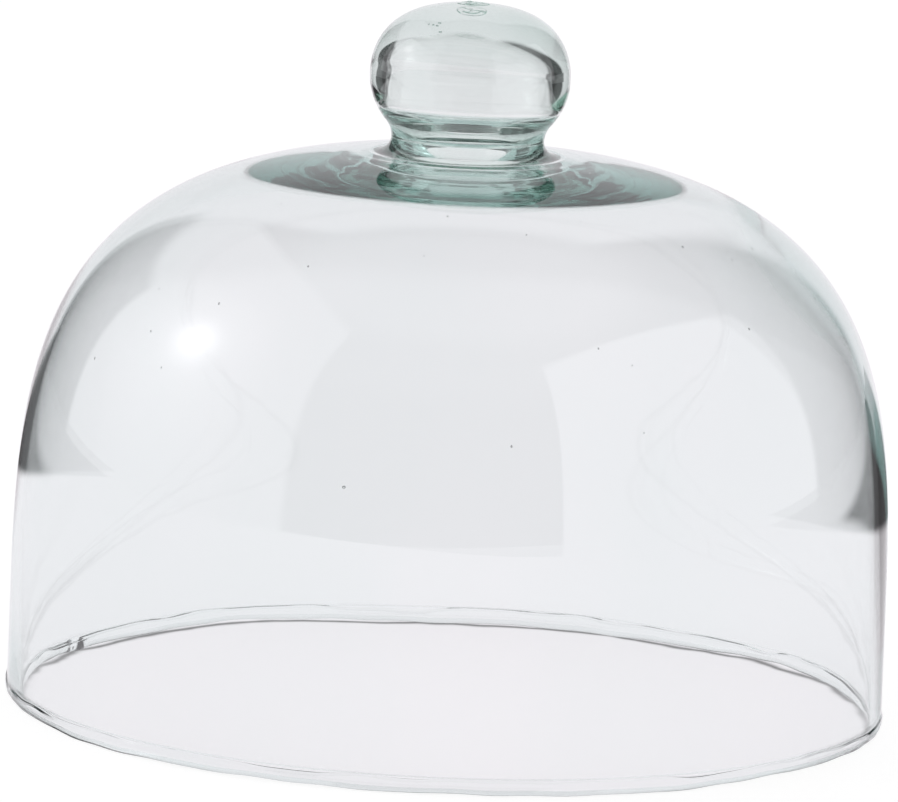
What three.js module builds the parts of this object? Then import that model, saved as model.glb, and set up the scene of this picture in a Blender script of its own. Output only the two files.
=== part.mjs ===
// Glass cake dome: a blown bell with a heavy crown, a beaded rim that it stands on, and a hollow blown knob
// welded to the crown by a flared collar. A small button closes the blow hole at the knob's top.
// Millimetres, +Z up, origin at the centre of the rim's foot.
import * as THREE from 'three';

// Rim: a bead of glass round the bell's open edge, from the foot up to its weld with the bell.
const RIM_RADIUS = 130;
const BEAD_HEIGHT = 5;
const BEAD_PROUD_OUTSIDE = 0.4;
const BEAD_PROUD_INSIDE = 0.7;
const FOOT_WIDTH = 1.4;

// Bell: outside it is a superellipse, upright at the weld and level at its apex. The wall thickens in a
// zone round the collar, and the crown's hole is rounded where it opens into the bell.
const BELL_HEIGHT = 160.4;
const SIDE_POWER = 2.76;
const CROWN_POWER = 3.9;
const BELL_WALL = 3;
const CROWN_WALL = 8.3;
const CROWN_ZONE_WIDTH = 40;
const MOUTH_ROUNDING = 3.1;
const ROUNDING_LIMIT = 0.8; // largest share of the crown's wall that the rounding may take

// Neck: the bore runs from the bell through the collar into the knob.
const NECK_BORE_RADIUS = 14.2;
const NECK_WALL = 8.3;
const COLLAR_HEIGHT = 4.3;
const COLLAR_FLARE = 5;
const COLLAR_EDGE = 0.6;

// Knob: a concave arc out of the neck, an ellipse that carries on its slope up to the equator, and a fuller
// superellipse above, round a hollow that opens into the bore at the throat.
const NECK_ARC_RADIUS = 7.5;
const NECK_ARC_DEGREES = 40.2;
const KNOB_SWELL = 6.95;
const KNOB_UPPER_RISE = 21.6;
const KNOB_SIDE_POWER = 2.6;
const KNOB_TOP_POWER = 2.2;
const KNOB_WALL = 5;
const KNOB_TOP_WALL = 5.6;
const THROAT_LIP = 1;

// Seal: a low dome over the knob's blow hole, with a stem down into it.
const BLOW_HOLE_RADIUS = 3;
const SEAL_OVERLAP = 1.7;
const SEAL_RISE = 0.5;
const SEAL_STEM = 2.5;
const STEM_CLEARANCE = 0.3;

// Facets: steps round the axis, and steps along each stretch of a profile.
const ROUND_STEPS = 48;
const BELL_STEPS = 17;
const KNOB_STEPS = 8;
const SMALL_STEPS = 5;

// Radii and heights that neighbours share.
const bellRadius = RIM_RADIUS - BEAD_PROUD_OUTSIDE;
const neckRadius = NECK_BORE_RADIUS + NECK_WALL;
const collarRadius = neckRadius + COLLAR_FLARE;
const knobRadius = neckRadius + KNOB_SWELL;
const sealRadius = BLOW_HOLE_RADIUS + SEAL_OVERLAP;
const weldHeight = BEAD_HEIGHT;
const collarSeat = weldHeight + BELL_HEIGHT * riseAt(collarRadius, bellRadius, SIDE_POWER, CROWN_POWER);
const knobSeat = collarSeat + COLLAR_HEIGHT;
const neckSlope = THREE.MathUtils.degToRad(NECK_ARC_DEGREES);
const neckArcEnd = neckRadius + NECK_ARC_RADIUS * (1 - Math.cos(neckSlope));
const knobLowerAngle = Math.acos(neckArcEnd / knobRadius);
const knobLowerRise = knobRadius * Math.tan(knobLowerAngle) / Math.tan(neckSlope);
const neckArcTop = knobSeat + NECK_ARC_RADIUS * Math.sin(neckSlope);
const knobEquator = neckArcTop + knobLowerRise * Math.sin(knobLowerAngle);
const sealRise = riseAt(sealRadius, knobRadius, KNOB_SIDE_POWER, KNOB_TOP_POWER);
const sealSeat = knobEquator + KNOB_UPPER_RISE * sealRise;

// Height of a unit-high quarter superellipse of the given half width at a distance from its axis.
function riseAt(distance, halfWidth, sidePower, topPower) {
  return (1 - (distance / halfWidth) ** sidePower) ** (1 / topPower);
}

// A quarter of a superellipse, from its widest point in to a given radius, evenly spaced when sampled.
class Superellipse extends THREE.Curve {
  constructor(halfWidth, rise, base, sidePower, topPower, innerRadius) {
    super();
    Object.assign(this, { halfWidth, rise, base, sidePower, topPower });
    this.arcLengthDivisions = 2000;
    this.endAngle = Math.acos((innerRadius / halfWidth) ** (sidePower / 2));
  }

  getPoint(share, target = new THREE.Vector2()) {
    const angle = share * this.endAngle;
    const radius = this.halfWidth * Math.cos(angle) ** (2 / this.sidePower);
    const height = this.base + this.rise * Math.sin(angle) ** (2 / this.topPower);
    return target.set(radius, height);
  }
}

// The bell's outer curve from the weld in to a given radius.
function bellCurve(innerRadius) {
  const curve = new Superellipse(bellRadius, BELL_HEIGHT, weldHeight, SIDE_POWER, CROWN_POWER, innerRadius);
  return curve.getSpacedPoints(BELL_STEPS);
}

// Outward normal of the bell's outer curve, from the gradient of the superellipse.
function bellNormal(point) {
  const side = SIDE_POWER / bellRadius * (point.x / bellRadius) ** (SIDE_POWER - 1);
  const top = CROWN_POWER / BELL_HEIGHT * ((point.y - weldHeight) / BELL_HEIGHT) ** (CROWN_POWER - 1);
  return new THREE.Vector2(side, top).normalize();
}

// Glass thickness at a radius: the wall's, growing to the crown's in the zone round the collar.
function bellThickness(radius) {
  const zoneEdge = collarRadius + CROWN_ZONE_WIDTH;
  const share = 1 - THREE.MathUtils.smoothstep(radius, collarRadius, zoneEdge);
  return BELL_WALL + (CROWN_WALL - BELL_WALL) * share;
}

// Points of an ellipse's arc, with the start and end angles in degrees.
function arc(centreRadius, centreHeight, halfWidth, rise, startDegrees, endDegrees, steps) {
  const start = THREE.MathUtils.degToRad(startDegrees);
  const end = THREE.MathUtils.degToRad(endDegrees);
  const clockwise = end < start;
  const curve = new THREE.EllipseCurve(centreRadius, centreHeight, halfWidth, rise, start, end, clockwise);
  return curve.getPoints(steps);
}

// Angle in degrees at which an ellipse of the given half width reaches a distance from its axis.
function angleAt(distance, halfWidth) {
  return THREE.MathUtils.radToDeg(Math.acos(distance / halfWidth));
}

// A glass piece turned from its profile, which runs up the outside and down the inside.
function glassPiece(name, profile, color) {
  const geometry = new THREE.LatheGeometry(profile, ROUND_STEPS);
  geometry.rotateX(Math.PI / 2);
  const glass = { color, roughness: 0.02, metalness: 0, transparent: true, opacity: 0.35 };
  const mesh = new THREE.Mesh(geometry, new THREE.MeshStandardMaterial(glass));
  mesh.name = name;
  return mesh;
}

// Repeats a profile's first point at its end, so that it closes on itself.
function closed(profile) {
  return [...profile, profile[0].clone()];
}

// The rim bead: a flat foot, rounded sides that stand proud of the wall, and a flat weld face on top.
function makeRimBead() {
  const innerRadius = bellRadius - BELL_WALL - BEAD_PROUD_INSIDE;
  const footCentre = (RIM_RADIUS + innerRadius) / 2;
  const footHalf = FOOT_WIDTH / 2;
  const half = (RIM_RADIUS - innerRadius) / 2 - footHalf;
  const middle = BEAD_HEIGHT / 2;
  const outerSide = arc(footCentre + footHalf, middle, half, middle, -90, 0, SMALL_STEPS);
  const innerSide = arc(footCentre - footHalf, middle, half, middle, 180, 270, SMALL_STEPS);
  const weldOuter = new THREE.Vector2(bellRadius, weldHeight);
  const weldInner = new THREE.Vector2(bellRadius - BELL_WALL, weldHeight);
  return glassPiece('rim_bead', closed([...outerSide, weldOuter, weldInner, ...innerSide]), 0xeef4f3);
}

// The bell: outer curve, flat seat for the collar, crown hole with a rounded mouth, inner curve.
function makeBell() {
  const outer = bellCurve(collarRadius);
  const mouthRounding = Math.min(MOUTH_ROUNDING, ROUNDING_LIMIT * CROWN_WALL);
  const inner = bellCurve(NECK_BORE_RADIUS + mouthRounding);
  for (const point of inner) {
    point.addScaledVector(bellNormal(point), -bellThickness(point.x));
  }
  const crownEnd = inner.pop();
  const rounding = crownEnd.x - NECK_BORE_RADIUS;
  const mouth = arc(crownEnd.x, crownEnd.y + rounding, rounding, rounding, 180, 270, SMALL_STEPS);
  const boreTop = new THREE.Vector2(NECK_BORE_RADIUS, collarSeat);
  const profile = [...outer, boreTop, ...mouth, ...inner.reverse()];
  return glassPiece('bell', closed(profile), 0xf2f6f6);
}

// The collar: level on the crown, sweeping from its flared edge up to the neck's radius.
function makeKnobCollar() {
  const sweepFoot = collarSeat + COLLAR_EDGE;
  const sweep = arc(collarRadius, knobSeat, COLLAR_FLARE, knobSeat - sweepFoot, 270, 180, SMALL_STEPS);
  const footOuter = new THREE.Vector2(collarRadius, collarSeat);
  const boreTop = new THREE.Vector2(NECK_BORE_RADIUS, knobSeat);
  const boreFoot = new THREE.Vector2(NECK_BORE_RADIUS, collarSeat);
  return glassPiece('knob_collar', closed([footOuter, ...sweep, boreTop, boreFoot]), 0xd3e3df);
}

// The knob's outside, from its neck over the equator to the seal's seat.
function knobOutside() {
  const neckCentre = neckRadius + NECK_ARC_RADIUS;
  const slopeEnd = 180 - NECK_ARC_DEGREES;
  const neck = arc(neckCentre, knobSeat, NECK_ARC_RADIUS, NECK_ARC_RADIUS, 180, slopeEnd, SMALL_STEPS);
  const lowerStart = -THREE.MathUtils.radToDeg(knobLowerAngle);
  const lower = arc(0, knobEquator, knobRadius, knobLowerRise, lowerStart, 0, KNOB_STEPS);
  const powers = [KNOB_SIDE_POWER, KNOB_TOP_POWER];
  const upperCurve = new Superellipse(knobRadius, KNOB_UPPER_RISE, knobEquator, ...powers, sealRadius);
  const upper = upperCurve.getSpacedPoints(KNOB_STEPS);
  return [...neck, ...lower.slice(1), ...upper.slice(1)];
}

// The knob: its outside, then the blow hole, the hollow and the throat's lip down to the collar.
function makeKnob() {
  const hollowRadius = knobRadius - KNOB_WALL;
  const hollowRise = KNOB_UPPER_RISE - KNOB_TOP_WALL;
  const throatHeight = knobSeat + THROAT_LIP;
  const hollowDrop = (knobEquator - throatHeight) / riseAt(NECK_BORE_RADIUS, hollowRadius, 2, 2);
  const holeAngle = angleAt(BLOW_HOLE_RADIUS, hollowRadius);
  const throatAngle = angleAt(NECK_BORE_RADIUS, hollowRadius);
  const roof = arc(0, knobEquator, hollowRadius, hollowRise, holeAngle, 0, KNOB_STEPS);
  const bowl = arc(0, knobEquator, hollowRadius, hollowDrop, 0, -throatAngle, KNOB_STEPS);
  const holeTop = new THREE.Vector2(BLOW_HOLE_RADIUS, sealSeat);
  const boreFoot = new THREE.Vector2(NECK_BORE_RADIUS, knobSeat);
  const profile = [...knobOutside(), holeTop, ...roof, ...bowl.slice(1), boreFoot];
  return glassPiece('knob', closed(profile), 0xe4edeb);
}

// The seal: a stem in the blow hole under a low dome that rests on the knob.
function makeKnobSeal() {
  const stemRadius = BLOW_HOLE_RADIUS - STEM_CLEARANCE;
  const stemFoot = sealSeat - SEAL_STEM;
  const stem = [
    new THREE.Vector2(0, stemFoot),
    new THREE.Vector2(stemRadius, stemFoot),
    new THREE.Vector2(stemRadius, sealSeat),
  ];
  const dome = arc(0, sealSeat, sealRadius, SEAL_RISE, 0, 90, SMALL_STEPS);
  dome[dome.length - 1].x = 0;
  return glassPiece('knob_seal', [...stem, ...dome], 0xc4d6d1);
}

const dome = new THREE.Group();
dome.add(makeRimBead(), makeBell(), makeKnobCollar(), makeKnob(), makeKnobSeal());

export default dome;
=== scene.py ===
"""Glass cake dome: a blown bell with a beaded rim and a hollow knob, on a pale studio floor.

Each piece of glass is a profile (radius, height) turned about the Z axis, with the unevenness of
hand work added as sums of waves. Neighbours share a weld and reach a hair into each other there,
so that light passes from one into the next as it does in fused glass. Metres, +Z up, in the
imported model's frame.
"""
import math

import bpy
import numpy as np
from mathutils import Matrix, Vector


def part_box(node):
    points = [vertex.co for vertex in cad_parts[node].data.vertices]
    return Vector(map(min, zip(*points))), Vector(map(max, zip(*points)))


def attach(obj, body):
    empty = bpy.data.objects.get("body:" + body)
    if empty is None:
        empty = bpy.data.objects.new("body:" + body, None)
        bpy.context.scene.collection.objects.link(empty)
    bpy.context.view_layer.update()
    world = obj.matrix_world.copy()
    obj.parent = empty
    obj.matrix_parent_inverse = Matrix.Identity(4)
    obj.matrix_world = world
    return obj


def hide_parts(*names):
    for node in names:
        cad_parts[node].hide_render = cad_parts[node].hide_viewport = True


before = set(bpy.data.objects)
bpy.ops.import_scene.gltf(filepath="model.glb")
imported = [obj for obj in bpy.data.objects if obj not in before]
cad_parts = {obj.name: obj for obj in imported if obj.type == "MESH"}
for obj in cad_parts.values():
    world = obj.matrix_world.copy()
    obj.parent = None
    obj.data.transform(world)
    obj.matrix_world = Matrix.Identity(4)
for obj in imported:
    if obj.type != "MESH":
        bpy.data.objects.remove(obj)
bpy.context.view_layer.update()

MM = 0.001
FULL_TURN = 2 * math.pi

# Bell: a superellipse outside, a thin wall, a heavy crown and a rounded mouth under the knob
SIDE_POWER = 2.76
CROWN_POWER = 3.9
BELL_WALL = 3.0 * MM
CROWN_WALL = 8.3 * MM
CROWN_ZONE_WIDTH = 40.0 * MM
MOUTH_ROUNDING = 3.1 * MM
MOUTH_RISE = 3.1 * MM

# Rim bead: each shoulder's start and length are shares of the bead's upper half
BEAD_PROUD_INSIDE = 0.7 * MM
FOOT_WIDTH = 1.4 * MM
INNER_SHOULDER_START, INNER_SHOULDER_LENGTH = 0.3, 0.13
OUTER_SHOULDER_START, OUTER_SHOULDER_LENGTH = 0.5, 0.4

# Neck: bore, waist and the fillet that spreads onto the crown; angles are in degrees
NECK_BORE = 14.2 * MM
FILLET_FOOT = 27.5 * MM
NECK_HEIGHT = 169.2 * MM
NECK_RADIUS = 22.5 * MM
NECK_ARC = 7.5 * MM
NECK_ARC_ANGLE = 38.4

# Knob: outside, hollow, throat and the bowl's slope and pulls between them
KNOB_EQUATOR = 187.5 * MM
KNOB_UPPER_RISE = 21.6 * MM
KNOB_SIDE_POWER = 2.6
KNOB_TOP_POWER = 2.2
KNOB_WALL = 5.0 * MM
KNOB_TOP_WALL = 5.6 * MM
HOLLOW_MIDDLE = 189.7 * MM
HOLLOW_SHIFT = -0.5 * MM
HOLLOW_TILT = -0.03
THROAT_LIP = 1.0 * MM
THROAT_RADIUS = 14.4 * MM
BOWL_SLOPE = 39.0
BOWL_SIDE_PULL = 0.62
BOWL_FLOOR_PULL = 0.91

# Seal: a button in the knob's top, its groove and fading edge as shares of its radius
SEAL_DEPTH = 1.6 * MM
SEAL_RISE = 0.5 * MM
SEAL_BREAK = 0.11 * MM
SEAL_LOBES = range(3, 8)
SEAL_PITCH = 4.0 * MM
SEAL_GROOVE, SEAL_GROOVE_WIDTH = 0.72, 0.12
SEAL_FADE = 0.15

# Welds: how far neighbours reach into each other, and the turn at which an edge stays sharp
WELD_LAP = 0.02 * MM
SHARP_EDGE = math.radians(50)

# Waves of the blown wall and crown: height of the wave, lobes round the axis, length along it
WALL_WAVE = 0.16 * MM
WALL_LOBES = range(2, 9)
WALL_PITCH = 110 * MM
CROWN_WAVE = 0.03 * MM
CROWN_LOBES = range(2, 8)
CROWN_PITCH = 50 * MM
CROWN_START, CROWN_BLEND = 100 * MM, 50 * MM

# Rings on the crown's outside, round the collar
RING_WAVE = 0.10 * MM
RING_PITCH = 7.0 * MM
RING_WANDER = 0.35
RING_LOBES = (1, 2, 3)
RING_FADE_IN = 4 * MM
RING_END, RING_FADE_OUT = 46 * MM, 12 * MM

# Heavier glass on one side of the shoulder's inside
SHOULDER_EXTRA = 1.7 * MM
SHOULDER_SPREAD = 0.7
SHOULDER_HEIGHT, SHOULDER_RISE = 138 * MM, 20 * MM
SHOULDER_START, SHOULDER_BLEND = 70 * MM, 20 * MM

# Unevenness of the bead: under its foot, along both shoulders, and the lap of its two ends
FOOT_WAVE = 0.45 * MM
FOOT_LOBES = (2, 5, 9, 17, 29, 41)
EDGE_WAVE = 1.05 * MM
EDGE_LOBES = (7, 12, 19, 27, 38)
LAP_TURN = math.radians(152)
LAP_LUMP = 0.7 * MM
LAP_WIDTH = 0.022
LAP_FADE = 3.0
GROOVE_SHARE, GROOVE_TURN, GROOVE_WIDTH = 0.8, 0.03, 0.012

# Air bubbles in the wall and in the knob's roof: place, number and half sizes
WALL_BUBBLES = 46
WALL_BUBBLE_SIZE = (0.14, 0.34)
WALL_BUBBLE_STRETCH = np.array([[1.0, 1.0, 1.5]])
LARGE_BUBBLE = Vector((-30.3, -121.8, 85.2)) * MM
LARGE_BUBBLE_SIZE = Vector((0.5, 0.4, 0.4)) * MM
ROOF_BUBBLES = 6
ROOF_BUBBLE_PLACE = Vector((-9.6, -14.7, 202.5)) * MM
ROOF_BUBBLE_SPREAD = np.array([2.6, 0.8, 0.5]) * MM
ROOF_BUBBLE_SIZE = (0.22, 0.42)
BUBBLE_STEPS, BUBBLE_ROWS, BUBBLE_POLE = 10, 7, 80

# Fineness of the meshes: steps round the axis, and rows along each stretch of a profile
BELL_STEPS = 240
RIM_STEPS = 600
KNOB_STEPS = 200
CURVE_POINTS = 4000
BELL_ROWS = 130
BEAD_ROWS = 22
SHOULDER_ROWS = 24
MOUTH_ROWS = 18
FILLET_ROWS = 24
KNOB_ROWS = 130
HOLLOW_ROWS = 100
BORE_ROWS = 12
DISH_ROWS = 12
DOME_ROWS = 16
AXIS_RING = 0.03 * MM

# Numbers that start the random draws
OUTSIDE_DRAW, INSIDE_DRAW, RING_DRAW = 10, 20, 27
FOOT_DRAW, EDGE_DRAW, SEAL_DRAW = 31, 33, 62
WALL_BUBBLE_DRAW, ROOF_BUBBLE_DRAW = 4, 7

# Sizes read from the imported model
rim_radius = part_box("rim_bead")[1].x
weld_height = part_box("rim_bead")[1].z
bell_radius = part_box("bell")[1].x
collar_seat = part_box("knob_collar")[0].z
collar_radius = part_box("knob_collar")[1].x
knob_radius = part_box("knob")[1].x
seal_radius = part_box("knob_seal")[1].x
throat_height = NECK_HEIGHT + THROAT_LIP
roof_height = KNOB_EQUATOR + KNOB_UPPER_RISE - KNOB_TOP_WALL


def smooth(x):
    """Smoothstep of x: 0 below 0, 1 above 1, 3x^2 - 2x^3 between."""
    x = np.clip(x, 0.0, 1.0)
    return x * x * (3 - 2 * x)


def bump(x, width):
    """Rounded bump of x: exp(-(x / width)^2)."""
    return np.exp(-(x / width) ** 2)


def turns(steps):
    """Angles round the axis: n 2 pi / steps, for n from 0 to steps - 1."""
    return np.linspace(0.0, FULL_TURN, steps, endpoint=False)


def spaced(points, count):
    """The polyline's points again, count of them, evenly spaced along its length."""
    points = np.asarray(points, float)
    run = np.concatenate([[0.0], np.cumsum(np.hypot(*np.diff(points, axis=0).T))])
    stops = np.linspace(0.0, run[-1], count)
    radius = np.interp(stops, run, points[:, 0])
    return np.stack([radius, np.interp(stops, run, points[:, 1])], axis=1)


def ellipse(half_width, rise, middle, start, end, count=400, centre=0.0):
    """Arc of an ellipse: radius = centre + half_width cos a and height = middle + rise sin a,
    with a in degrees from start to end."""
    a = np.radians(np.linspace(start, end, count))
    return np.stack([centre + half_width * np.cos(a), middle + rise * np.sin(a)], axis=1)


def angle_at(distance, half_width):
    """Angle in degrees at which an ellipse of that half width reaches a distance from the axis."""
    return math.degrees(math.acos(distance / half_width))


def bell_curve(inner_radius):
    """The bell's outside from the weld in to a radius, and its outward normals. The curve is
    (r / R)^SIDE_POWER + (rise / height)^CROWN_POWER = 1, and the normals are its gradient."""
    share = (1 - (collar_radius / bell_radius) ** SIDE_POWER) ** (1 / CROWN_POWER)
    height = (collar_seat - weld_height) / share
    end = math.acos((inner_radius / bell_radius) ** (SIDE_POWER / 2))
    a = np.linspace(0.0, end, CURVE_POINTS)
    radius = bell_radius * np.cos(a) ** (2 / SIDE_POWER)
    rise = height * np.sin(a) ** (2 / CROWN_POWER)
    side = SIDE_POWER / bell_radius * (radius / bell_radius) ** (SIDE_POWER - 1)
    top = CROWN_POWER / height * (rise / height) ** (CROWN_POWER - 1)
    normal = np.stack([side, top], axis=1) / np.hypot(side, top)[:, None]
    return np.stack([radius, weld_height + rise], axis=1), normal


def bell_inside(inner_radius):
    """The bell's outside moved inwards by the wall, which smoothsteps up to the crown's thickness
    towards the collar."""
    points, normal = bell_curve(inner_radius)
    zone = smooth((points[:, 0] - FILLET_FOOT) / CROWN_ZONE_WIDTH)
    wall = CROWN_WALL + (BELL_WALL - CROWN_WALL) * zone
    return points - normal * wall[:, None]


def waves(turn, along, size, lobes, pitch, draw):
    """Sum over the lobes k of size / sqrt(k) cos(k turn + 2 pi s along / pitch + p), with a slant s
    and a phase p drawn for each lobe."""
    random = np.random.default_rng(draw)
    total = np.zeros(np.broadcast(turn, along).shape)
    for k in lobes:
        slant, phase = random.uniform(-1, 1), random.uniform(0, FULL_TURN)
        total += size / math.sqrt(k) * np.cos(k * turn + FULL_TURN * slant * along / pitch + phase)
    return total


def blown(profile, inside, steps):
    """Vertex grid of a profile: (r + dr)(cos t, sin t), z + dz. Both dr and dz are waves that grow
    with the radius, dz only on the crown. The shoulder's inside is also heavier about t = 0, by a
    bump in t and z. The crown's outside has rings: RING_WAVE cos(2 pi r / RING_PITCH + wander)."""
    turn = turns(steps)
    radius, height = profile[:, 0][:, None], profile[:, 1][:, None]
    draw = INSIDE_DRAW if inside else OUTSIDE_DRAW
    share = radius / bell_radius
    crown = smooth((height - CROWN_START) / CROWN_BLEND)
    out = share * waves(turn, height, WALL_WAVE, WALL_LOBES, WALL_PITCH, draw)
    up = share * crown * waves(turn, radius, CROWN_WAVE, CROWN_LOBES, CROWN_PITCH, draw + 1)
    if inside:
        from_side = np.mod(turn + math.pi, FULL_TURN) - math.pi
        heavy = bump(from_side, SHOULDER_SPREAD) * bump(height - SHOULDER_HEIGHT, SHOULDER_RISE)
        out = out - SHOULDER_EXTRA * heavy * smooth((radius - SHOULDER_START) / SHOULDER_BLEND)
    else:
        begun = smooth((radius - FILLET_FOOT) / RING_FADE_IN)
        ringed = begun * smooth((RING_END - radius) / RING_FADE_OUT) * crown
        wander = waves(turn, radius, RING_WANDER, RING_LOBES, CROWN_PITCH, RING_DRAW)
        up = up + ringed * RING_WAVE * np.cos(FULL_TURN * radius / RING_PITCH + wander)
    rings = radius + out
    return np.stack([rings * np.cos(turn), rings * np.sin(turn), height + up], axis=-1)


def faces_round(grid, open_ends):
    """Quads between neighbouring rings. A closed body joins its last ring to its first. With open
    ends, each end ring lies close round the axis and gets one face."""
    rows, steps = grid.shape[:2]
    ring = np.arange(rows * steps).reshape(rows, steps)
    after = np.roll(ring, -1, axis=1)
    above, after_above = np.roll(ring, -1, axis=0), np.roll(after, -1, axis=0)
    quads = np.stack([ring, after, after_above, above], axis=-1)
    if open_ends:
        return quads[:-1].reshape(-1, 4).tolist() + [ring[0][::-1].tolist(), ring[-1].tolist()]
    return quads.reshape(-1, 4).tolist()


def bubbles(centres, sizes):
    """Air bubbles: unit spheres (cos b cos t, cos b sin t, sin b) times their half sizes, turned
    inside out because the glass is outside them."""
    turn = turns(BUBBLE_STEPS)
    rise = np.radians(np.linspace(BUBBLE_POLE, -BUBBLE_POLE, BUBBLE_ROWS))[:, None]
    level = np.cos(rise)
    unit = np.stack([level * np.cos(turn), level * np.sin(turn), np.sin(rise) + 0 * turn], axis=-1)
    faces = faces_round(unit, True)
    verts = centres[:, None, :] + unit.reshape(1, -1, 3) * sizes[:, None, :]
    step = BUBBLE_STEPS * BUBBLE_ROWS
    every = [[i + step * n for i in face] for n in range(len(centres)) for face in faces]
    return verts.reshape(-1, 3), every


def glass_piece(name, node, grid, material, open_ends=False, voids=None):
    """One mesh from a vertex grid and its bubbles, smooth but for its weld edges, that stands for a
    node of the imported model."""
    verts, faces = grid.reshape(-1, 3), faces_round(grid, open_ends)
    if voids is not None:
        faces = faces + [[i + len(verts) for i in face] for face in voids[1]]
        verts = np.concatenate([verts, voids[0]])
    mesh = bpy.data.meshes.new(name)
    mesh.from_pydata(verts, [], faces)
    mesh.polygons.foreach_set("use_smooth", np.ones(len(mesh.polygons), bool))
    mesh.set_sharp_from_angle(angle=SHARP_EDGE)
    mesh.materials.append(material)
    piece = bpy.data.objects.new(name, mesh)
    bpy.context.scene.collection.objects.link(piece)
    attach(piece, "root")
    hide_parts(node)
    return piece


def lapped(inside, outside, low, high):
    """Grid of a ring-shaped piece: down its inside, then up its outside. Its low ends move up by
    low, its high ends by high."""
    grid = np.concatenate([inside, outside])
    count = len(inside)
    grid[[0, -1], :, 2] += high
    grid[[count - 1, count], :, 2] += low
    return grid


def make_bell(material):
    """The bell: inner curve down from the mouth, outer curve up to the collar. Its bubbles lie half
    way through the wall, at random places along the curve and round the axis."""
    inside = spaced(bell_inside(NECK_BORE + MOUTH_ROUNDING - WELD_LAP)[::-1], BELL_ROWS)
    outside = spaced(bell_curve(FILLET_FOOT - WELD_LAP)[0], BELL_ROWS)
    inside, outside = blown(inside, True, BELL_STEPS), blown(outside, False, BELL_STEPS)
    grid = lapped(inside, outside, -WELD_LAP, 0.0)
    random = np.random.default_rng(WALL_BUBBLE_DRAW)
    points, normal = bell_curve(collar_radius)
    pick = random.integers(CURVE_POINTS // 20, CURVE_POINTS * 19 // 20, WALL_BUBBLES)
    radius, height = (points[pick] - normal[pick] * BELL_WALL / 2).T
    turn = random.uniform(0, FULL_TURN, WALL_BUBBLES)
    centres = np.stack([radius * np.cos(turn), radius * np.sin(turn), height], axis=1)
    sizes = random.uniform(*WALL_BUBBLE_SIZE, (WALL_BUBBLES, 1)) * MM * WALL_BUBBLE_STRETCH
    centres = np.concatenate([centres, [LARGE_BUBBLE]])
    sizes = np.concatenate([sizes, [LARGE_BUBBLE_SIZE]])
    return glass_piece("bell_glass", "bell", grid, material, voids=bubbles(centres, sizes))


def make_rim(material):
    """The rim bead: quarter ellipses each side of a narrow foot, and shoulders that smoothstep back
    to the wall. Waves lift its foot, more the lower it is, and its shoulders, by sin of pi times
    the share along them. The lap of its two ends is a bump beside a groove."""
    inner_edge = bell_radius - BELL_WALL - BEAD_PROUD_INSIDE
    foot_centre = (rim_radius + inner_edge) / 2
    half = (rim_radius - inner_edge - FOOT_WIDTH) / 2
    middle = weld_height / 2
    inner = ellipse(half, middle, middle, 180, 270, BEAD_ROWS, foot_centre - FOOT_WIDTH / 2)
    outer = ellipse(half, middle, middle, 270, 360, BEAD_ROWS, foot_centre + FOOT_WIDTH / 2)
    shoulder = np.linspace(0.0, 1.0, SHOULDER_ROWS)
    inside_rise = smooth((shoulder - INNER_SHOULDER_START) / INNER_SHOULDER_LENGTH)
    outside_fall = smooth((shoulder - OUTER_SHOULDER_START) / OUTER_SHOULDER_LENGTH)
    from_wall = np.stack([inner_edge + BEAD_PROUD_INSIDE * (1 - inside_rise),
                          weld_height - middle * shoulder], axis=1)
    to_wall = np.stack([rim_radius - (rim_radius - bell_radius) * outside_fall,
                        middle + middle * shoulder], axis=1)
    inside = blown(np.concatenate([from_wall, inner[1:]]), True, RIM_STEPS)
    outside = blown(np.concatenate([outer, to_wall[1:]]), False, RIM_STEPS)
    grid = lapped(inside, outside, 0.0, WELD_LAP)
    turn = turns(RIM_STEPS)
    low = np.clip(1 - grid[:, :, 2] / weld_height, 0, 1)
    lift = waves(turn, 0.0, FOOT_WAVE, FOOT_LOBES, 1.0, FOOT_DRAW)
    grid[:, :, 2] += low * (lift - lift.min())
    row = np.arange(len(grid))
    along = np.clip(np.minimum(row, row[::-1]) / SHOULDER_ROWS, 0, 1)
    edge = np.sin(math.pi * along)[:, None]
    grid[:, :, 2] += edge * waves(turn, 0.0, EDGE_WAVE, EDGE_LOBES, 1.0, EDGE_DRAW)
    from_lap = turn - LAP_TURN
    lump = bump(from_lap, LAP_WIDTH) - GROOVE_SHARE * bump(from_lap - GROOVE_TURN, GROOVE_WIDTH)
    inward = LAP_LUMP * lump * smooth(low * LAP_FADE)
    grid[:, :, 0] -= inward * np.cos(turn)
    grid[:, :, 1] -= inward * np.sin(turn)
    return glass_piece("rim_bead_glass", "rim_bead", grid, material)


def mouth_profile():
    """Rounded mouth of the neck's bore in the crown: a quarter ellipse from the bore down and out to
    the bell's inner curve."""
    end = bell_inside(NECK_BORE + MOUTH_ROUNDING)[-1]
    middle = end[1] + MOUTH_RISE
    return ellipse(end[0] - NECK_BORE, MOUTH_RISE, middle, 180, 270, MOUTH_ROWS, end[0])


def fillet_profile():
    """Concave quarter ellipse from the crown, where it is level with it, in and up to the neck."""
    foot = bell_curve(FILLET_FOOT)[0][-1]
    wide, tall = foot[0] - NECK_RADIUS, NECK_HEIGHT - foot[1]
    return ellipse(wide, tall, NECK_HEIGHT, 270, 180, FILLET_ROWS, foot[0])


def make_collar(material):
    """The collar: a wedge of glass round the neck, from one ring on the crown's inside out to its
    fillet."""
    inside = blown(mouth_profile()[-1:], True, KNOB_STEPS)
    grid = np.concatenate([inside, blown(fillet_profile(), False, KNOB_STEPS)])
    grid[-1, :, 2] += WELD_LAP
    return glass_piece("knob_collar_glass", "knob_collar", grid, material)


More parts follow.
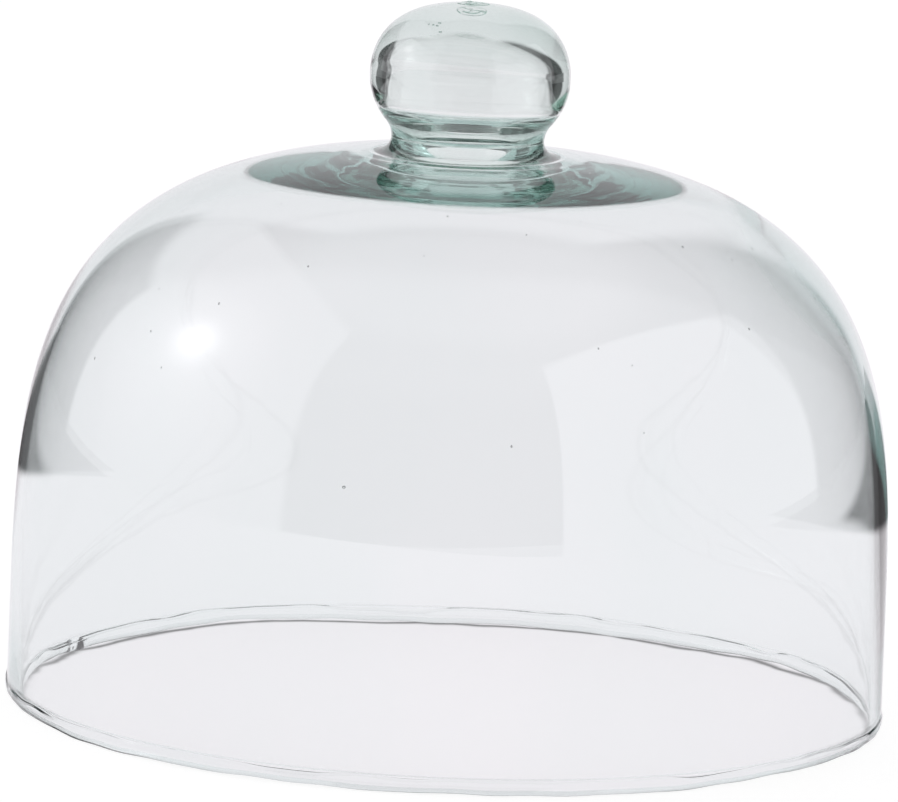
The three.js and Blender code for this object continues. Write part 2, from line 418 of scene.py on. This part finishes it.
def knob_outside():
    """Up the knob's outside: a concave arc out of the neck, an ellipse that carries on its slope to
    the equator, then (r / R)^KNOB_SIDE_POWER + (rise / height)^KNOB_TOP_POWER = 1 to the seal."""
    arc_end = 180 - NECK_ARC_ANGLE
    neck = ellipse(NECK_ARC, NECK_ARC, NECK_HEIGHT, 180, arc_end, 60, NECK_RADIUS + NECK_ARC)
    start = angle_at(neck[-1, 0], knob_radius)
    lower_rise = (KNOB_EQUATOR - neck[-1, 1]) / math.sin(math.radians(start))
    lower = ellipse(knob_radius, lower_rise, KNOB_EQUATOR, -start, 0)
    a = np.linspace(0.0, math.pi / 2, 600)
    radius = knob_radius * np.cos(a) ** (2 / KNOB_SIDE_POWER)
    height = KNOB_EQUATOR + KNOB_UPPER_RISE * np.sin(a) ** (2 / KNOB_TOP_POWER)
    upper = np.stack([radius, height], axis=1)[radius >= seal_radius]
    return spaced(np.concatenate([neck, lower[1:], upper[1:]]), KNOB_ROWS)


def bowl_profile(hollow_radius):
    """Lower half of the knob's hollow, from its side down to the throat: a cubic Bezier curve,
    upright at the side, that meets the throat at BOWL_SLOPE."""
    drop = HOLLOW_MIDDLE - throat_height
    slope = math.radians(BOWL_SLOPE)
    pull = BOWL_FLOOR_PULL * drop
    corners = np.array([[hollow_radius, HOLLOW_MIDDLE],
                        [hollow_radius, HOLLOW_MIDDLE - BOWL_SIDE_PULL * drop],
                        [THROAT_RADIUS + pull * math.cos(slope),
                         throat_height + pull * math.sin(slope)],
                        [THROAT_RADIUS, throat_height]])
    t = np.linspace(0.0, 1.0, 400)[:, None]
    back = 1 - t
    weights = np.concatenate([back ** 3, 3 * t * back ** 2, 3 * t ** 2 * back, t ** 3], axis=1)
    return weights @ corners


def make_knob(material):
    """The knob: its hollow from the roof down through throat, bore and mouth, then up the outside to
    a dish for the seal. The hollow leans: x moves by HOLLOW_SHIFT and z by HOLLOW_TILT x, both
    fading out at the throat. A cluster of bubbles lies in the roof."""
    hollow_radius = knob_radius - KNOB_WALL
    roof = ellipse(hollow_radius, roof_height - HOLLOW_MIDDLE, HOLLOW_MIDDLE, 90, 0)
    hollow = spaced(np.concatenate([roof, bowl_profile(hollow_radius)[1:]]), HOLLOW_ROWS)
    hollow[0, 0] = AXIS_RING
    mouth = mouth_profile()
    mouth[-1, 0] += WELD_LAP
    bore = spaced([[THROAT_RADIUS, throat_height], mouth[0]], BORE_ROWS)
    inside = blown(np.concatenate([hollow, bore[1:], mouth[1:]]), True, KNOB_STEPS)
    lean = smooth((inside[:, :, 2] - throat_height) / (roof_height - throat_height))
    inside[:, :, 2] += lean * HOLLOW_TILT * inside[:, :, 0]
    inside[:, :, 0] += lean * HOLLOW_SHIFT
    outside = knob_outside()
    dish = ellipse(seal_radius, -SEAL_DEPTH, outside[-1, 1], 0, 90, DISH_ROWS)
    dish[-1, 0] = AXIS_RING
    outside = blown(np.concatenate([outside, dish[1:]]), False, KNOB_STEPS)
    grid = np.concatenate([inside, outside])
    grid[len(inside), :, 2] -= WELD_LAP
    random = np.random.default_rng(ROOF_BUBBLE_DRAW)
    spread = random.uniform(-1, 1, (ROOF_BUBBLES, 3)) * ROOF_BUBBLE_SPREAD
    sizes = random.uniform(*ROOF_BUBBLE_SIZE, (ROOF_BUBBLES, 3)) * MM
    voids = bubbles(np.array(ROOF_BUBBLE_PLACE) + spread, sizes)
    return glass_piece("knob_glass", "knob", grid, material, open_ends=True, voids=voids)


def make_seal(material):
    """The seal: a button dished below by a half ellipse, its upper face a low half ellipse with
    waves where it broke off and a groove, both fading out at its edge."""
    edge = knob_outside()[-1, 1]
    dish = ellipse(seal_radius, -SEAL_DEPTH, edge, 90, 0, DISH_ROWS)
    dome = ellipse(seal_radius, SEAL_RISE, edge, 0, 90, DOME_ROWS)
    dish[0, 0] = dome[-1, 0] = AXIS_RING
    grid = blown(np.concatenate([dish, dome[1:]]), False, KNOB_STEPS)
    radius = np.hypot(grid[:, :, 0], grid[:, :, 1])
    broken = waves(turns(KNOB_STEPS), radius, SEAL_BREAK, SEAL_LOBES, SEAL_PITCH, SEAL_DRAW)
    share = radius / seal_radius
    broken = broken - 2 * SEAL_BREAK * bump(share - SEAL_GROOVE, SEAL_GROOVE_WIDTH)
    broken = broken * smooth((1 - share) / SEAL_FADE)
    grid[len(dish):, :, 2] += broken[len(dish):]
    grid[:len(dish), :, 2] -= WELD_LAP
    return glass_piece("knob_seal_glass", "knob_seal", grid, material, open_ends=True)


class Graph:
    """Short way to write a node tree: numbers and sockets go in, a socket comes out."""

    def __init__(self, tree):
        self.nodes, self.links = tree.nodes, tree.links

    def value(self, operation, *inputs):
        """One Math node."""
        node = self.nodes.new("ShaderNodeMath")
        node.operation = operation
        for socket, item in zip(node.inputs, inputs):
            if isinstance(item, (int, float)):
                socket.default_value = item
            else:
                self.links.new(item, socket)
        return node.outputs[0]

    def ramp(self, item, low, high):
        """Smoothstep from 0 at low to 1 at high."""
        node = self.nodes.new("ShaderNodeMapRange")
        node.interpolation_type = "SMOOTHSTEP"
        self.links.new(item, node.inputs["Value"])
        node.inputs["From Min"].default_value = low
        node.inputs["From Max"].default_value = high
        return node.outputs["Result"]

    def below(self, item, edge, soft):
        """1 below the edge and 0 above it, blended over soft to each side."""
        return self.value("SUBTRACT", 1.0, self.ramp(item, edge - soft, edge + soft))

    def band(self, item, low, high, soft):
        """1 from low to high and 0 outside, blended over soft at each edge."""
        risen = self.ramp(item, low - soft, low + soft)
        return self.value("MULTIPLY", risen, self.below(item, high, soft))

    def glow(self, along, up, middle, wide):
        """exp(-((along - middle 0) / wide 0)^2 - ((up - middle 1) / wide 1)^2)"""
        a = self.value("DIVIDE", self.value("SUBTRACT", along, middle[0]), wide[0])
        b = self.value("DIVIDE", self.value("SUBTRACT", up, middle[1]), wide[1])
        square = self.value("ADD", self.value("MULTIPLY", a, a), self.value("MULTIPLY", b, b))
        return self.value("EXPONENT", self.value("MULTIPLY", square, -1.0))

    def noise(self, vector, scale, detail):
        """Noise of a vector, from 0 to 1."""
        node = self.nodes.new("ShaderNodeTexNoise")
        node.inputs["Scale"].default_value = scale
        node.inputs["Detail"].default_value = detail
        self.links.new(vector, node.inputs["Vector"])
        return node.outputs["Fac"]

    def coordinates(self, kind):
        """One kind of texture coordinate, as a vector and as its x, y and z."""
        where = self.nodes.new("ShaderNodeTexCoord")
        split = self.nodes.new("ShaderNodeSeparateXYZ")
        self.links.new(where.outputs[kind], split.inputs[0])
        return where.outputs[kind], split.outputs

    def light(self, kind, strength, colour=(1.0, 1.0, 1.0, 1.0)):
        """An Emission or Background node of a colour, its strength a number or a socket."""
        node = self.nodes.new(kind)
        node.inputs["Color"].default_value = colour
        if isinstance(strength, (int, float)):
            node.inputs["Strength"].default_value = strength
        else:
            self.links.new(strength, node.inputs["Strength"])
        return node.outputs[0]


# Glass: tint and density of what it absorbs, cloudy streaks and worn patches
BELL_TINT = (0.31, 0.57, 0.53, 1.0)
KNOB_TINT = (0.44, 0.66, 0.58, 1.0)
GLASS_DEPTH = 25.0
GLASS_IOR = 1.5
CLEAR_COLOUR = (1.0, 1.0, 1.0, 1.0)
CLOUD_COLOUR = (0.985, 0.995, 0.992, 1.0)
STREAK_STRETCH = (1.0, 1.0, 0.35)
STREAK_RANGE = (0.35, 0.65)
WORN_FINENESS = 7
WORN_RANGE = (0.62, 0.80)
WORN_ROUGHNESS = 0.03
GLASS_DETAIL = 3.0
BELL_STREAKS = 14.0
RIM_STREAKS = 22.0
KNOB_STREAKS = 50.0


def clear_glass(name, tint, streak_scale):
    """Clear soda glass: green only where light runs a long way through it. Two noises of the
    object's coordinates vary it: broad cloudy streaks in its colour, and fine patches where hands
    and cloths have dulled the polish a little."""
    material = bpy.data.materials.new(name)
    material.use_nodes = True
    g = Graph(material.node_tree)
    shader = g.nodes["Principled BSDF"]
    where = g.nodes.new("ShaderNodeTexCoord").outputs["Object"]
    stretch = g.nodes.new("ShaderNodeMapping")
    stretch.inputs["Scale"].default_value = STREAK_STRETCH
    g.links.new(where, stretch.inputs["Vector"])
    streaks = g.ramp(g.noise(stretch.outputs[0], streak_scale, GLASS_DETAIL), *STREAK_RANGE)
    colour = g.nodes.new("ShaderNodeMix")
    colour.data_type = "RGBA"
    colour.inputs[6].default_value = CLOUD_COLOUR
    colour.inputs[7].default_value = CLEAR_COLOUR
    g.links.new(streaks, colour.inputs["Factor"])
    g.links.new(colour.outputs[2], shader.inputs["Base Color"])
    worn = g.ramp(g.noise(where, WORN_FINENESS * streak_scale, GLASS_DETAIL), *WORN_RANGE)
    g.links.new(g.value("MULTIPLY", worn, WORN_ROUGHNESS), shader.inputs["Roughness"])
    shader.inputs["IOR"].default_value = GLASS_IOR
    shader.inputs["Transmission Weight"].default_value = 1.0
    depth = g.nodes.new("ShaderNodeVolumeAbsorption")
    depth.inputs["Color"].default_value = tint
    depth.inputs["Density"].default_value = GLASS_DEPTH
    g.links.new(depth.outputs[0], g.nodes["Material Output"].inputs["Volume"])
    return material


# Studio: levels of light
ROOM = 0.05
UPPER_ROOM = 0.18
CEILING = 0.45
BACKDROP = 0.88
LEFT_PANEL = 0.75
LAMP_GLOW = 0.75
LAMP_CORE = 2.5
RIGHT_PANEL = 0.95
GAP_DARK = 0.97
GAP_LEVEL = 0.05
STUDIO_WHITE = (0.985, 0.968, 1.0, 1.0)

# Studio: directions in degrees, round from the front and up from level, with soft edges
UPPER_ROOM_FROM = (28, 42)
CEILING_FROM = (50, 66)
BACKDROP_FROM = (148, 157)
BACKDROP_TOP = (58, 6)
LEFT_GAP, LEFT_GAP_TOP = (-157, -126, 1.5), (28.5, 2.5)
RIGHT_GAP, RIGHT_GAP_TOP = (113, 151, 2.5), (30, 4)

# Studio: places on the two side panels, at one metre to the side, with soft edges
LEFT_SIDES, LEFT_TOP = (-1.0, 2.0, 0.06), (2.0, 0.06)
LAMP_PLACE, LAMP_GLOW_SIZE, LAMP_CORE_SIZE = (0.03, 0.6), (0.45, 0.5), (0.13, 0.13)
RIGHT_SIDES, RIGHT_TOP, RIGHT_SLOPE = (-1.73, 0.42, 0.04), (1.12, 0.06), 0.55
NEARLY_NOTHING = 0.001


def studio_world():
    """Light by direction: a dark room with a dim ceiling, a backdrop behind, a tall panel on the
    left with a lamp in it, a panel on the right whose top slopes, and a dark gap in each back
    corner. The world is white where it is seen directly."""
    world = bpy.data.worlds.new("studio")
    world.use_nodes = True
    bpy.context.scene.world = world
    g = Graph(world.node_tree)
    g.nodes.clear()
    x, y, z = g.coordinates("Generated")[1]
    degrees = 180 / math.pi
    around = g.value("ARCTAN2", x, g.value("MULTIPLY", y, -1.0))
    around = g.value("MULTIPLY", around, degrees)
    up = g.value("MULTIPLY", g.value("ARCSINE", z), degrees)

    room = g.value("MULTIPLY_ADD", g.ramp(up, *UPPER_ROOM_FROM), UPPER_ROOM - ROOM, ROOM)
    room = g.value("MULTIPLY_ADD", g.ramp(up, *CEILING_FROM), CEILING - UPPER_ROOM, room)
    behind = g.ramp(g.value("ABSOLUTE", around), *BACKDROP_FROM)
    behind = g.value("MULTIPLY", behind, g.below(up, *BACKDROP_TOP))
    room = g.value("MAXIMUM", room, g.value("MULTIPLY", behind, BACKDROP))

    to_left = g.value("MAXIMUM", g.value("MULTIPLY", x, -1.0), NEARLY_NOTHING)
    along, rise = g.value("DIVIDE", y, to_left), g.value("DIVIDE", z, to_left)
    left = g.value("MULTIPLY", g.band(along, *LEFT_SIDES), g.below(rise, *LEFT_TOP))
    glow = g.glow(along, rise, LAMP_PLACE, LAMP_GLOW_SIZE)
    core = g.glow(along, rise, LAMP_PLACE, LAMP_CORE_SIZE)
    lamp = g.value("MULTIPLY_ADD", glow, LAMP_GLOW, LEFT_PANEL)
    left = g.value("MULTIPLY", left, g.value("MULTIPLY_ADD", core, LAMP_CORE, lamp))

    to_right = g.value("MAXIMUM", x, NEARLY_NOTHING)
    along, rise = g.value("DIVIDE", y, to_right), g.value("DIVIDE", z, to_right)
    top = g.value("MULTIPLY_ADD", along, RIGHT_SLOPE, rise)
    right = g.value("MULTIPLY", g.band(along, *RIGHT_SIDES), g.below(top, *RIGHT_TOP))
    right = g.value("MULTIPLY", right, RIGHT_PANEL)

    left_gap = g.value("MULTIPLY", g.band(around, *LEFT_GAP), g.below(up, *LEFT_GAP_TOP))
    right_gap = g.value("MULTIPLY", g.band(around, *RIGHT_GAP), g.below(up, *RIGHT_GAP_TOP))
    gaps = g.value("ADD", left_gap, right_gap)
    light = g.value("MAXIMUM", room, g.value("MAXIMUM", left, right))
    light = g.value("MULTIPLY", light, g.value("MULTIPLY_ADD", gaps, -GAP_DARK, 1.0))
    light = g.value("MAXIMUM", light, GAP_LEVEL)

    mix = g.nodes.new("ShaderNodeMixShader")
    path = g.nodes.new("ShaderNodeLightPath")
    out = g.nodes.new("ShaderNodeOutputWorld")
    g.links.new(path.outputs["Is Camera Ray"], mix.inputs[0])
    g.links.new(g.light("ShaderNodeBackground", light, STUDIO_WHITE), mix.inputs[1])
    g.links.new(g.light("ShaderNodeBackground", 1.0), mix.inputs[2])
    g.links.new(mix.outputs[0], out.inputs["Surface"])


# Floor: its size and levels, the table's back edge and the strip of backdrop behind it
FLOOR_HALF = 4.0
FLOOR_LEVEL = -0.1 * MM
FLOOR_SEEN = 0.92
FLOOR_IN_GLASS = 0.845
FLOOR_DIFFUSE = 0.20
FLOOR_WHITE = (1.0, 0.962, 1.0, 1.0)
TABLE_SLANT, TABLE_EDGE = 0.10, (0.35, 0.39)
STRIP_EDGE = (0.42, 0.47)
FAR_FROM, FAR_DARK = (1.0, 1.2), 0.05

# Floor: a painted contact shadow, a dark line under the rim's foot, which wanders with a noise
CONTACT_SHADOW_RADIUS = 127.6 * MM
CONTACT_SHADOW_WIDTH = 1.6 * MM
CONTACT_SHADOW_WANDER = 9.0 * MM
CONTACT_SHADOW_FINENESS = 36.0
CONTACT_SHADOW_DETAIL = 2.0
CONTACT_SHADOW_DARK = 0.85


def studio_floor():
    """Pale floor: white for the eye, a little less in the glass, over a diffuse ground that keeps
    the shadow. In the glass the table ends at a back edge, only a strip of backdrop carries on
    behind it, and a painted contact shadow under the rim's foot is exp(-((r - ring) /
    CONTACT_SHADOW_WIDTH)^2) dark."""
    h, level = FLOOR_HALF, FLOOR_LEVEL
    corners = [(-h, -h, level), (h, -h, level), (h, h, level), (-h, h, level)]
    mesh = bpy.data.meshes.new("floor")
    mesh.from_pydata(corners, [], [(0, 1, 2, 3)])
    floor = bpy.data.objects.new("floor", mesh)
    bpy.context.scene.collection.objects.link(floor)
    material = bpy.data.materials.new("pale_floor")
    material.use_nodes = True
    g = Graph(material.node_tree)
    g.nodes.clear()
    where, (x, y, _) = g.coordinates("Object")
    behind = g.ramp(g.value("MULTIPLY_ADD", x, TABLE_SLANT, y), *TABLE_EDGE)
    beside = g.value("DIVIDE", g.value("ABSOLUTE", x), g.value("MAXIMUM", y, NEARLY_NOTHING))
    dark = g.value("MULTIPLY", behind, g.ramp(beside, *STRIP_EDGE))

    # Painted contact shadow: the floor as the glass sees it is darkened along a wandering ring under
    # the rim's foot
    square = g.value("ADD", g.value("MULTIPLY", x, x), g.value("MULTIPLY", y, y))
    out_from = g.value("POWER", square, 0.5)
    uneven = g.noise(where, CONTACT_SHADOW_FINENESS, CONTACT_SHADOW_DETAIL)
    least = CONTACT_SHADOW_RADIUS - CONTACT_SHADOW_WANDER / 2
    ring = g.value("MULTIPLY_ADD", uneven, CONTACT_SHADOW_WANDER, least)
    off = g.value("DIVIDE", g.value("SUBTRACT", out_from, ring), CONTACT_SHADOW_WIDTH)
    contact_shadow = g.value("EXPONENT", g.value("MULTIPLY", g.value("MULTIPLY", off, off), -1.0))
    dark = g.value("MAXIMUM", dark, g.value("MULTIPLY", contact_shadow, CONTACT_SHADOW_DARK))

    path = g.nodes.new("ShaderNodeLightPath").outputs
    in_glass = g.value("MAXIMUM", path["Is Glossy Ray"], path["Is Transmission Ray"])
    far = g.value("MULTIPLY_ADD", g.ramp(y, *FAR_FROM), -FAR_DARK, 1.0)
    table = g.value("MULTIPLY", far, FLOOR_IN_GLASS)
    table = g.value("MULTIPLY", g.value("MULTIPLY_ADD", dark, -GAP_DARK, 1.0), table)
    seen = g.value("MULTIPLY", path["Is Camera Ray"], FLOOR_SEEN)
    glow = g.value("MULTIPLY", in_glass, table)
    ground = g.nodes.new("ShaderNodeBsdfDiffuse")
    ground.inputs["Color"].default_value = (FLOOR_DIFFUSE, FLOOR_DIFFUSE, FLOOR_DIFFUSE, 1.0)
    lit = g.nodes.new("ShaderNodeAddShader")
    both = g.nodes.new("ShaderNodeAddShader")
    out = g.nodes.new("ShaderNodeOutputMaterial")
    g.links.new(g.light("ShaderNodeEmission", seen), lit.inputs[0])
    g.links.new(g.light("ShaderNodeEmission", glow, FLOOR_WHITE), lit.inputs[1])
    g.links.new(lit.outputs[0], both.inputs[0])
    g.links.new(ground.outputs[0], both.inputs[1])
    g.links.new(both.outputs[0], out.inputs["Surface"])
    mesh.materials.append(material)


# Camera: its place, and where in a frame of that width in pixels the aimed point falls
CAMERA_DISTANCE = 2.2
CAMERA_RAISED = math.radians(9.0)
CAMERA_ROLL = math.radians(2.45)
CAMERA_AIM = Vector((0, 0, 0.1))
PIXELS_PER_METRE = 3390.6
FRAME_WIDTH, FRAME_MIDDLE = 898, (449, 401)
AIM_PIXEL = (457.8, 371.3)
SENSOR_WIDTH = 36
CLIP_END = 50


def photo_camera():
    """Long lens, raised above the dome and rolled a little, shifted so that the aimed point falls on
    its pixel: the lens is pixels per metre times distance times sensor width over frame width."""
    ahead = Vector((0, math.cos(CAMERA_RAISED), -math.sin(CAMERA_RAISED)))
    level = Vector((1, 0, 0))
    upright = level.cross(ahead)
    right = level * math.cos(CAMERA_ROLL) + upright * math.sin(CAMERA_ROLL)
    up = upright * math.cos(CAMERA_ROLL) - level * math.sin(CAMERA_ROLL)
    place = CAMERA_AIM - ahead * CAMERA_DISTANCE
    lens = bpy.data.cameras.new("camera")
    lens.sensor_width = SENSOR_WIDTH
    lens.lens = PIXELS_PER_METRE * CAMERA_DISTANCE * SENSOR_WIDTH / FRAME_WIDTH
    lens.shift_x = (FRAME_MIDDLE[0] - AIM_PIXEL[0]) / FRAME_WIDTH
    lens.shift_y = (AIM_PIXEL[1] - FRAME_MIDDLE[1]) / FRAME_WIDTH
    lens.clip_end = CLIP_END
    camera = bpy.data.objects.new("camera", lens)
    camera.matrix_world = Matrix((
        (right.x, up.x, -ahead.x, place.x),
        (right.y, up.y, -ahead.y, place.y),
        (right.z, up.z, -ahead.z, place.z),
        (0, 0, 0, 1)))
    bpy.context.scene.collection.objects.link(camera)
    bpy.context.scene.camera = camera


bell_material = clear_glass("bell_clear_glass", BELL_TINT, BELL_STREAKS)
rim_material = clear_glass("rim_clear_glass", BELL_TINT, RIM_STREAKS)
knob_material = clear_glass("knob_clear_glass", KNOB_TINT, KNOB_STREAKS)
make_bell(bell_material)
make_rim(rim_material)
make_collar(knob_material)
make_knob(knob_material)
make_seal(knob_material)

studio_world()
studio_floor()
photo_camera()

# Light runs a long way through thick glass, with many reflections inside it
THROUGH_BOUNCES = 48
MIRROR_BOUNCES = 24
scene = bpy.context.scene
scene.view_settings.view_transform = "Standard"
scene.cycles.max_bounces = THROUGH_BOUNCES
scene.cycles.transmission_bounces = THROUGH_BOUNCES
scene.cycles.glossy_bounces = MIRROR_BOUNCES
